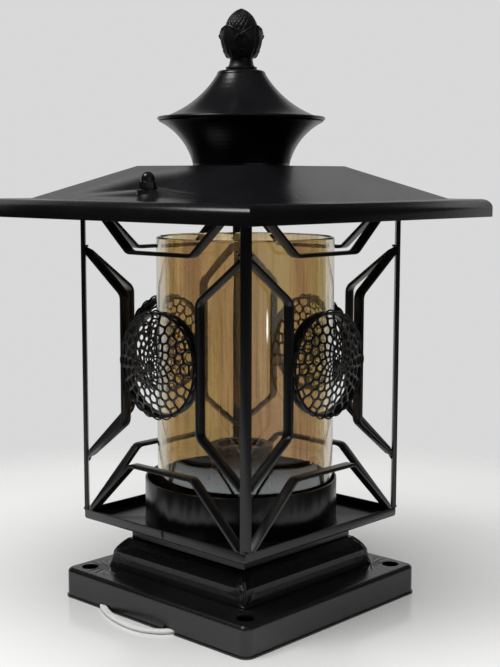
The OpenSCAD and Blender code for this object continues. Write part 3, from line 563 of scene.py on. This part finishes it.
def cornerTurns(centre, half, a):
    # each direction next to a corner of its cell is moved onto the corner, where two shared lines meet
    line, _ = towards(centre, half, np.zeros(a.shape + (2,)))
    _, _, _, nearest = cellRims(centre, half, a)
    d = centre[None] - centre[:, None]
    apart = np.linalg.norm(d, axis=-1) + np.eye(len(centre)) * medallionSizes["far"]
    inverse = d / (apart * line)[..., None]
    cell = np.arange(len(centre))[:, None]
    after = np.roll(nearest, -1, axis=1)
    gap = inverse[cell, nearest] - inverse[cell, after]
    corner = np.arctan2(gap[..., 0], -gap[..., 1])
    step = 2 * math.pi / a.shape[1]
    off = (corner - a + math.pi / 2) % math.pi - math.pi / 2
    changed = (nearest != after) & (off > -0.01 * step) & (off < 1.01 * step)
    moved = a + np.where(changed & (off < step / 2), off, 0)
    return moved + np.roll(np.where(changed & (off >= step / 2), off - step, 0), 1, axis=1)


def roundedWeb(distance):
    # half the web's thickness at a distance from its edge: a quarter round, then flat
    s = medallionSizes
    t = np.clip(distance / s["roundIn"], 0, 1)
    return s["thick"] / 2 * np.sqrt(1 - (1 - t) ** 2)


def skinPoint(flat, half):
    # a point on the middle skin, moved along its normal by half: a ball's cap that eases into the flat border
    s = medallionSizes
    ball = (s["domeR"] ** 2 + s["rise"] ** 2) / (2 * s["rise"])
    r = np.sqrt((flat**2).sum(-1))
    mid = ball - s["thick"] / 2
    cap = np.sqrt(mid**2 - r**2) + s["rise"] + s["thick"] - ball
    base = s["thick"] / 2
    over = (cap - base) / s["ease"]
    z = base + s["ease"] * np.logaddexp(0, over)
    slope = -r / np.sqrt(mid**2 - r**2) / (1 + np.exp(-over))
    up = 1 / np.sqrt(1 + slope**2)
    outward = flat / np.maximum(r, 1e-9)[..., None]
    return np.concatenate([flat - outward * (slope * up * half)[..., None], (z + up * half)[..., None]], -1)


def closedBand(inner, outer, heightIn):
    # points from the inner edge over the top to the outer edge and back underneath
    s = medallionSizes
    t = np.linspace(0, 1, s["steps"])[None, :, None] ** s["crowd"]
    flat = inner[..., None, :] * (1 - t) + outer[..., None, :] * t
    half = heightIn(flat, inner[..., None, :], outer[..., None, :])
    top, under = skinPoint(flat, half), skinPoint(flat, -half)
    return np.concatenate([top, np.flip(under, -2)[..., :-1, :]], -2)


def scallopCurve(turn, size):
    # radius of a row of circles, seen from the middle: each point lies on the nearest circle
    s = medallionSizes
    pitch = 2 * math.pi / s["scallops"]
    near = (turn + pitch / 2) % pitch - pitch / 2
    return s["scallopR"] * np.cos(near) + np.sqrt(size**2 - (s["scallopR"] * np.sin(near)) ** 2)


def piercedWebs(centre, half, a):
    # one closed band of web round each hole, out to the lines it shares with its neighbours
    u, inner, outer, _ = cellRims(centre, half, a)
    holes = centre[:-1, None]
    cells = closedBand(holes + u[:-1] * inner[:-1, :, None], holes + u[:-1] * outer[:-1, :, None],
                       lambda flat, rim, end: roundedWeb(np.linalg.norm(flat - rim, axis=-1)))
    count, sides, loop = cells.shape[:3]
    one = gridFaces(sides, loop, closeRows=True, closeCols=True)
    return cells.reshape(-1, 3), repeatFaces(one, count, sides * loop)


def scallopedEdge():
    # a wire that leaves a crescent outside the band and touches it between scallops
    s = medallionSizes
    count = s["scallops"] * s["scallopSides"]
    ring = np.arange(count) * 2 * math.pi / count
    unit = np.stack([np.cos(ring), np.sin(ring)], -1)
    inside = np.maximum(scallopCurve(ring, s["scallop"] - s["edge"]), s["bandR"] - s["lap"])
    outside = scallopCurve(ring, s["scallop"])
    wire = closedBand(unit * inside[:, None], unit * outside[:, None],
                      lambda flat, rim, end: roundedWeb(s["edgeRound"] * np.minimum(
                          np.linalg.norm(flat - rim, axis=-1), np.linalg.norm(flat - end, axis=-1))))
    return wire.reshape(-1, 3), gridFaces(*wire.shape[:2], closeRows=True, closeCols=True)


def middleFlower(centre, half, a):
    # petals round a button, each a low swelling, on the cell in the middle
    s = medallionSizes
    u, _, outer, _ = cellRims(centre, half, a)
    rr = np.linspace(0, 1, s["flowerRings"])[:, None] * outer[-1][None]
    flat = rr[..., None] * u[-1][None]
    swell = np.cos(a[-1] * s["petals"] / 2) ** 2 * np.sin(np.clip(rr / s["flower"], 0, 1) * math.pi)
    raised = s["petal"] * swell + s["button"] * np.exp(-((rr / s["buttonR"]) ** 2))
    edge = np.full(rr.shape, s["thick"] / 2)
    top, under = skinPoint(flat, edge + raised), skinPoint(flat, -edge)
    points = np.concatenate([top, under[::-1]], 0)
    return points.reshape(-1, 3), gridFaces(*points.shape[:2], closeCols=True)


def makeMedallions():
    # the one shape, stood up in front of the lantern and turned to each face
    s = medallionSizes
    centre, half, turn = medallionHoles()
    a = turn[:, None] + np.arange(s["sides"]) * 2 * math.pi / s["sides"]
    a = cornerTurns(centre, half, a)
    parts = [piercedWebs(centre, half, a), scallopedEdge(), middleFlower(centre, half, a)]
    starts = np.cumsum([0] + [len(points) for points, _ in parts[:-1]])
    x, y, z = np.concatenate([points for points, _ in parts]).T
    faces = np.concatenate([faces + start for (_, faces), start in zip(parts, starts)])
    upright = np.stack([x, -(s["faceOut"] + z), s["middle"] + y], 1)
    for quarter, side in enumerate(("front", "right", "back", "left")):
        c, q = math.cos(quarter * math.pi / 2), math.sin(quarter * math.pi / 2)
        turned = upright @ np.array([(c, q, 0), (-q, c, 0), (0, 0, 1)])
        piece = newPiece("filigree_" + side, turned * mm, faces)
        closeMesh(piece, merge=1e-7)
        piece.data.set_sharp_from_angle(angle=math.radians(62))
        stand(piece, "medallion_" + side)


makeMedallions()
print("medallions pierced")


# finial: a turned foot and neck, a cup of four cast leaves, and a cone of diamond scales, in mm
finialSizes = {
    "bottom": 308.4, "height": 34.4, "foot": 8.9, "cup": 6.8, "cupFoot": 7.9, "cupBow": 1.2,
    "widest": 12.2, "belly": 18.7, "leafTop": (11.7, 24.6), "leafBow": 0.2, "notch": 4.7, "notchWide": 7.6,
    "lip": [(0.12, 0.1), (0.38, 0.0), (0.7, 0.06), (0.95, 0.3)],  # inwards and down from the rim
    "coneFoot": (9.25, 19.0), "coneSide": (8.97, 24.6), "bow": 1.75, "tip": 0.03,
    "spirals": 20, "lean": 1.75, "scale": 0.5, "sink": 0.3, "columns": 320, "cupRows": 70, "coneRows": 120,
}
leafSizes = {  # heights in mm, places and widths in degrees round the cup, or in mm up it
    "foot": 0.9, "midR": 11.9, "lens": 21, "brim": 2.2, "sunk": 0.3, "border": (0.26, 1.6, 1.5),
    "rib": (0.34, 7.5, 2.4), "spine": (0.26, 2.4), "vein": 0.07, "fold": (0.3, 0.7, 0.5),
    "bead": (0.8, 1.5, 1.25), "drop": (0.42, 24, 0.8, 0.6), "tongue": (0.42, 11.5, 3.7),
}


def bowed(p, q, bow, steps=80):
    # points on the arc from p to q that stands out by bow to the right of the chord
    p, q = np.array(p, float), np.array(q, float)
    chord = np.linalg.norm(q - p)
    r = (chord**2 / 4 + bow**2) / (2 * bow)
    along = (q - p) / chord
    right = np.array([along[1], -along[0]])
    turn = np.linspace(-1, 1, steps)[:, None] * math.asin(chord / 2 / r)
    return (p + q) / 2 + right * (bow - r) + r * (np.sin(turn) * along + np.cos(turn) * right)


def ridge(x, width):
    # a rounded ridge of height 1 and the given half width
    return np.exp(-((x / width) ** 2))


def leafRelief(phi, z, rim):
    # what stands out of the cup: a sunk lens with a raised border below each notch, paired ribs up each leaf,
    # a folded rim, a bead under the notch, a drop on each rim, and a small inner leaf at the foot of the lens
    s, leaf = finialSizes, leafSizes
    low, high = s["cup"] + leaf["foot"], s["leafTop"][1] - s["notch"]
    off = np.abs(phi)
    up = np.clip((z - low) / (high - low), 0, 1)
    inside = leaf["lens"] * np.sin(np.clip(up * 0.93 + 0.07, 0, 1) * math.pi) ** 0.75 - off
    sunk = leaf["sunk"] * smoothStep(0, leaf["brim"], inside)
    sunk = sunk * smoothStep(0, 0.05, up) * smoothStep(0, 0.2, 1 - up)
    fadeIn = smoothStep(0, 2.5, z - s["cup"]) * smoothStep(0.3, 2.2, rim - z)
    rise, at, wide = leaf["border"]
    border = rise * ridge(inside + at, wide)
    rise, at, wide = leaf["rib"]
    groove, spineWide = leaf["spine"]
    ribs = rise * ridge(45 - off - at, wide) - groove * ridge(45 - off, spineWide)
    veins = leaf["vein"] * np.sin((off * 0.62 + up * 5) * 2) * smoothStep(24, 30, off)
    rise, at, wide = leaf["fold"]
    fold = rise * ridge(rim - z - at, wide)
    rise, at, wide = leaf["bead"]
    aside = np.radians(phi) * leaf["midR"]
    bead = rise * np.sqrt(np.maximum(1 - (aside**2 + (z - high + at) ** 2) / wide**2, 0))
    rise, at, under, wide = leaf["drop"]
    drop = rise * ridge(np.hypot((off - at) * 0.2, rim - z - under), wide)
    rise, across, tall = leaf["tongue"]
    tongue = rise * smoothStep(0, 0.22, 1 - np.hypot(phi / across, (z - low) / tall))
    return (border + ribs + veins) * fadeIn - sunk + fold + bead + drop + tongue


def scaleRelief(turn, run, r):
    # diamonds between two sets of spirals, each rounded up to its middle, fading out at the tip
    s = finialSizes
    n = s["spirals"] / (2 * math.pi)
    a = np.abs(((turn + run / s["lean"]) * n) % 1 - 0.5) * 2
    b = np.abs(((turn - run / s["lean"]) * n) % 1 - 0.5) * 2
    inside = np.minimum(1 - a, 1 - b)
    scale = np.clip(inside * 2.6, 0, 1) ** 0.7 * (0.66 + 0.34 * inside)
    return (s["scale"] * scale - s["sink"]) * smoothStep(0.6, 3.0, r)


def finialFoot():
    # outline of the turned foot and neck, radius and height: a disc with a rounded edge, then a waist
    foot = finialSizes["foot"]
    return [
        (0.02, 0.02), (3.1, 0.02), (foot - 0.35, 0.02), (foot - 0.08, 0.12), (foot, 0.4), (foot, 1.4),
        (foot - 0.12, 1.7), (foot - 0.45, 1.84), (7.75, 1.86), (7.5, 1.95), (7.4, 2.3), (7.2, 2.7),
        (7.0, 3.1), (6.83, 3.8), (6.65, 4.8), (6.5, 5.6), (6.46, 6.1), (6.55, 6.5), (6.9, 6.72), (7.3, 6.78),
    ]


def makeFinial():
    # one row of points after another, from the foot's middle up the cup, over the rim and up the cone
    s = finialSizes
    turn = np.arange(s["columns"]) * 2 * math.pi / s["columns"]
    phi = np.degrees(turn) % 90 - 45  # from the middle of the nearest notch
    cup = np.vstack([bowed((s["cupFoot"], s["cup"]), (s["widest"], s["belly"]), s["cupBow"]),
                     bowed((s["widest"], s["belly"]), s["leafTop"], s["leafBow"])[1:]])
    cone = np.vstack([[s["coneFoot"]], bowed(s["coneSide"], (0, s["height"]), s["bow"], 300)])
    atNotch = np.abs(np.sin(np.radians(phi))) * leafSizes["midR"] / s["notchWide"]
    dip = s["notch"] * (1 - np.clip(atNotch, 0, 1) ** 0.85) + 0.3 * smoothStep(0.8, 1.1, atNotch)
    rim = s["leafTop"][1] - dip

    rows = [(np.full(phi.shape, r), np.full(phi.shape, z)) for r, z in finialFoot()]
    for t in np.linspace(0, 1, s["cupRows"]) ** 0.9:
        z = s["cup"] + (rim - 0.3 - s["cup"]) * t
        rows.append((np.interp(z, cup[:, 1], cup[:, 0]) + leafRelief(phi, z, rim), z))
    edge = rows[-1][0]
    rows += [(edge - inwards, rim - down) for inwards, down in s["lip"]]
    floorR, floorZ = s["coneFoot"]
    rows.append(((edge - s["lip"][-1][0] + floorR + 0.5) / 2, rim * 0.45 + floorZ * 0.55 - 0.1))
    rows.append((np.full(phi.shape, floorR + 0.15), np.full(phi.shape, floorZ)))
    stretch = np.linalg.norm(np.diff(cone, axis=0), axis=1) / np.maximum(cone[1:, 0], 0.4)
    length = np.append(0, np.cumsum(stretch))
    for z in np.linspace(floorZ, s["height"] - s["tip"], s["coneRows"]):
        r, run = np.interp(z, cone[:, 1], cone[:, 0]), np.interp(z, cone[:, 1], length)
        rows.append((np.maximum(r + scaleRelief(turn, run, r), 0.02), np.full(phi.shape, z)))
    r, z = (np.stack(q) for q in zip(*rows))
    points = np.stack([r * np.cos(turn), r * np.sin(turn), z + s["bottom"]], -1)
    piece = newPiece("finialCast", points * mm, gridFaces(*r.shape, closeCols=True), 55)
    closeMesh(piece, caps=endCaps(*r.shape))
    return stand(piece, "finial")


makeFinial()
print("finial cast")


# screw shell: thin plate with a rolled round thread, in mm
shellSizes = {"outer": 13.75, "low": 66.4, "high": 88.4, "pitch": 3.63, "depth": 0.7, "plate": 0.42,
              "rows": 72, "columns": 96}


def makeShell():
    # radius at a height and turn: a cosine wave that climbs one pitch in each turn, flat at the two ends
    s = shellSizes
    z = np.linspace(s["low"], s["high"], s["rows"])[:, None]
    turn = np.arange(s["columns"])[None] * 2 * math.pi / s["columns"]
    wave = 0.5 + 0.5 * np.cos(2 * math.pi * (z - s["low"]) / s["pitch"] - turn)
    ends = smoothStep(0, 1.5, z - s["low"]) * smoothStep(0, 1.8, s["high"] - z)
    outside = s["outer"] - s["depth"] * (1 - wave) * ends
    r = np.concatenate([outside, (outside - s["plate"])[::-1]])
    z = np.broadcast_to(np.concatenate([z, z[::-1]]), r.shape)
    points = np.stack([r * np.cos(turn), r * np.sin(turn), z], -1)
    piece = newPiece("shellThread", points * mm, gridFaces(*r.shape, closeRows=True, closeCols=True), 60)
    return stand(piece, "screw_shell")


makeShell()
print("shell rolled")


# welds: small lumpy beads where strips and posts meet, and one across the tray's rim, in mm
weldSizes = {
    "along": 1.7, "wide": 0.75, "rows": 11, "sides": 14, "spread": (0.85, 1.2), "seed": 5,
    "post": (62.3, -64.7), "inset": 1.1, "sideZ": 62.0, "slope": 0.74, "apart": 1.35,
    "crossU": 59.4, "strip": -63.4, "top": 236.3, "low": 53.5, "crossApart": 1.6, "crossLong": 1.45,
    "foot": (65.35, -65.35), "footLong": 1.1, "seam": (1.4, -65.45, 50.0), "seamLong": 1.7,
}


def weldPlaces():
    # place, direction and half length of each bead: one face's beads, turned to the other three
    s = weldSizes
    slant = 0.707
    face = []
    for side in (-1, 1):
        x, y = side * (s["post"][0] - s["inset"]), s["post"][1]
        for end in (-1, 1):
            z = medallionSizes["middle"] + end * (s["sideZ"] - s["inset"] * s["slope"])
            face += [((x, y, z + under * s["apart"]), (slant * side, slant, 0), 1.0) for under in (-1, 1)]
        for z in (s["top"], s["low"]):
            for beside in (-1, 1):
                cross = side * (s["crossU"] + s["crossApart"] * beside)
                face.append(((cross, s["strip"], z), (0, 1, 0), s["crossLong"]))
    face.append(((*s["foot"], s["low"] - 0.1), (slant, slant, 0), s["footLong"]))
    places = []
    for quarter in range(4):
        turn = np.array(Matrix.Rotation(quarter * math.pi / 2, 3, "Z"))
        places += [(turn @ np.array(at), turn @ np.array(way), long) for at, way, long in face]
    places.append((np.array(s["seam"]), np.array([0, 0, 1.0]), s["seamLong"]))
    return places


def makeWelds():
    # each bead is a ball drawn out along its seam, its radius rippled across and lumped by seeded waves
    s = weldSizes
    draw = np.random.default_rng(s["seed"])
    lat = np.linspace(-math.pi / 2, math.pi / 2, s["rows"])[:, None]
    lon = np.arange(s["sides"])[None] * 2 * math.pi / s["sides"]
    points = []
    for at, way, long in weldPlaces():
        phase = draw.uniform(0, 2 * math.pi, 3)
        size = draw.uniform(*s["spread"])
        lumps = 1 + 0.1 * np.sin(2 * lon + phase[0]) + 0.08 * np.sin(7 * lat + phase[1])
        around = s["wide"] * size * lumps * np.cos(lat)
        side = np.cross(way, (0.3, 0.2, 1.0) if abs(way[2]) < 0.5 else (1.0, 0.2, 0))
        side /= np.linalg.norm(side)
        over = np.cross(way, side)
        spread = np.cos(lon)[..., None] * side + np.sin(lon)[..., None] * over
        length = s["along"] * long * size * np.sin(lat)
        points.append(at + around[..., None] * spread + length[..., None] * way)
    one = gridFaces(s["rows"], s["sides"], closeCols=True)
    faces = repeatFaces(one, len(points), s["rows"] * s["sides"])
    piece = newPiece("weldBeads", np.array(points) * mm, faces)
    closeMesh(piece, merge=1e-8)
    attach(piece, "lantern")
    return dress(piece, "cage_black")


makeWelds()
print("welds laid")


# floor and light
studio = {
    "floor": (0.80, 0.80, 0.79, 1), "floorR": 4.0, "floorSides": 96, "floorRough": 0.12, "haze": 0.08,
    "clouds": 6,  # noise scale of the floor's haze
    "fade": (0.34, 0.46),  # metres from the middle, between which the floor thins out to nothing
    "sky": (0.80, 0.805, 0.80, 1), "shown": 0.86, "dark": 0.028,
    # parts of the room by strength, level direction, and the range of facing and of height where each fades
    "away": (-0.6824, 0.7310), "wall": 0.68, "wallSide": (0.50, 0.60), "wallTop": (0.38, 0.57),
    "windowTurn": (0.974, -0.225), "window": 0.30, "windowSide": (0.85, 0.98), "windowTop": (0.30, 0.62),
    "windowFoot": (-0.35, 0.05),
    "spotTurn": (0.9455, -0.3256), "spot": 6.0, "spotSide": (0.9996, 0.9999), "spotHigh": (-0.135, -0.105),
    "spotSoft": 0.01,
    "lamps": [  # name, place, size, watts, whether it shows in gloss
        ("key", (-0.35, -0.75, 1.35), 0.7, 9.0, True),
        ("over", (0.22, -0.2, 1.5), 1.2, 25.0, False),
    ],
    "aim": (0, 0, 0.16),
}


def roomLight(sky):
    # by direction: a pale wall behind the object up to a height, a soft window and a small lamp to the right
    # of the camera, dark elsewhere
    s = studio
    x, y, z = sky.make("ShaderNodeTexCoord", out=3).parts()
    flat = (x * x + y * y) ** 0.5
    level = flat.sum("MAXIMUM", flat, 0.01)
    behind, window, spot = ((x * s[k][0] + y * s[k][1]) / level for k in ("away", "windowTurn", "spotTurn"))
    wall = behind.between(*s["wallSide"]) * (1 - z.between(*s["wallTop"]))
    window = window.between(*s["windowSide"]) * (1 - z.between(*s["windowTop"])) * z.between(*s["windowFoot"])
    (low, high), soft = s["spotHigh"], s["spotSoft"]
    spot = spot.between(*s["spotSide"]) * z.between(low, low + soft) * (1 - z.between(high - soft, high))
    return wall * s["wall"] + window * s["window"] + spot * s["spot"] + s["dark"]


def addFloor():
    # a disc round the object that is clear from a little way out
    s = studio
    ring = np.arange(s["floorSides"]) * 2 * math.pi / s["floorSides"]
    rim = np.stack([s["floorR"] * np.cos(ring), s["floorR"] * np.sin(ring), 0 * ring], 1)
    k = np.arange(s["floorSides"])
    faces = np.stack([0 * k, k + 1, (k + 1) % s["floorSides"] + 1], 1)
    floor = newPiece("floor", np.vstack([np.zeros((1, 3)), rim]), faces)
    material, tree, surface, place = newMaterial("floorTop")
    rough = s["floorRough"] + place.noise(s["clouds"], 2) * s["haze"]
    feed(tree, surface, {"Roughness": rough}, {"Base Color": s["floor"]})
    clear = place.make("ShaderNodeBsdfTransparent")
    place.length().between(*s["fade"]).mix(Wire(tree, surface.outputs[0]), clear).show()
    floor.data.materials.append(material)


def addLamps():
    # round lamps, each turned to the middle of the object
    for name, place, size, watts, gloss in studio["lamps"]:
        data = bpy.data.lights.new(name, "AREA")
        data.shape, data.size, data.energy = "DISK", size, watts
        lamp = bpy.data.objects.new(name, data)
        bpy.context.scene.collection.objects.link(lamp)
        lamp.visible_glossy = gloss
        lamp.location = place
        lamp.rotation_mode = "QUATERNION"
        lamp.rotation_quaternion = (Vector(studio["aim"]) - Vector(place)).to_track_quat("-Z", "Y")


def addRoom():
    # the room lights the object; the camera, also through clear things, sees one even tone instead
    s = studio
    world = bpy.data.worlds.new("room")
    bpy.context.scene.world = world
    world.use_nodes = True
    tree = world.node_tree
    background = tree.nodes["Background"]
    sky = Wire(tree, background.outputs[0])
    background.inputs["Color"].default_value = s["sky"]
    tree.links.new(roomLight(sky).socket, background.inputs["Strength"])
    shown = sky.make("ShaderNodeBackground", None, {"Color": s["sky"], "Strength": s["shown"]})
    rays = sky.make("ShaderNodeLightPath").socket.node.outputs
    camera, through = Wire(tree, rays["Is Camera Ray"]), Wire(tree, rays["Is Transmission Ray"])
    camera.sum("MAXIMUM", camera, through).mix(sky, shown).show("World Output")


addFloor()
addLamps()
addRoom()
bpy.context.scene.view_settings.view_transform = "Standard"
print("studio lit")
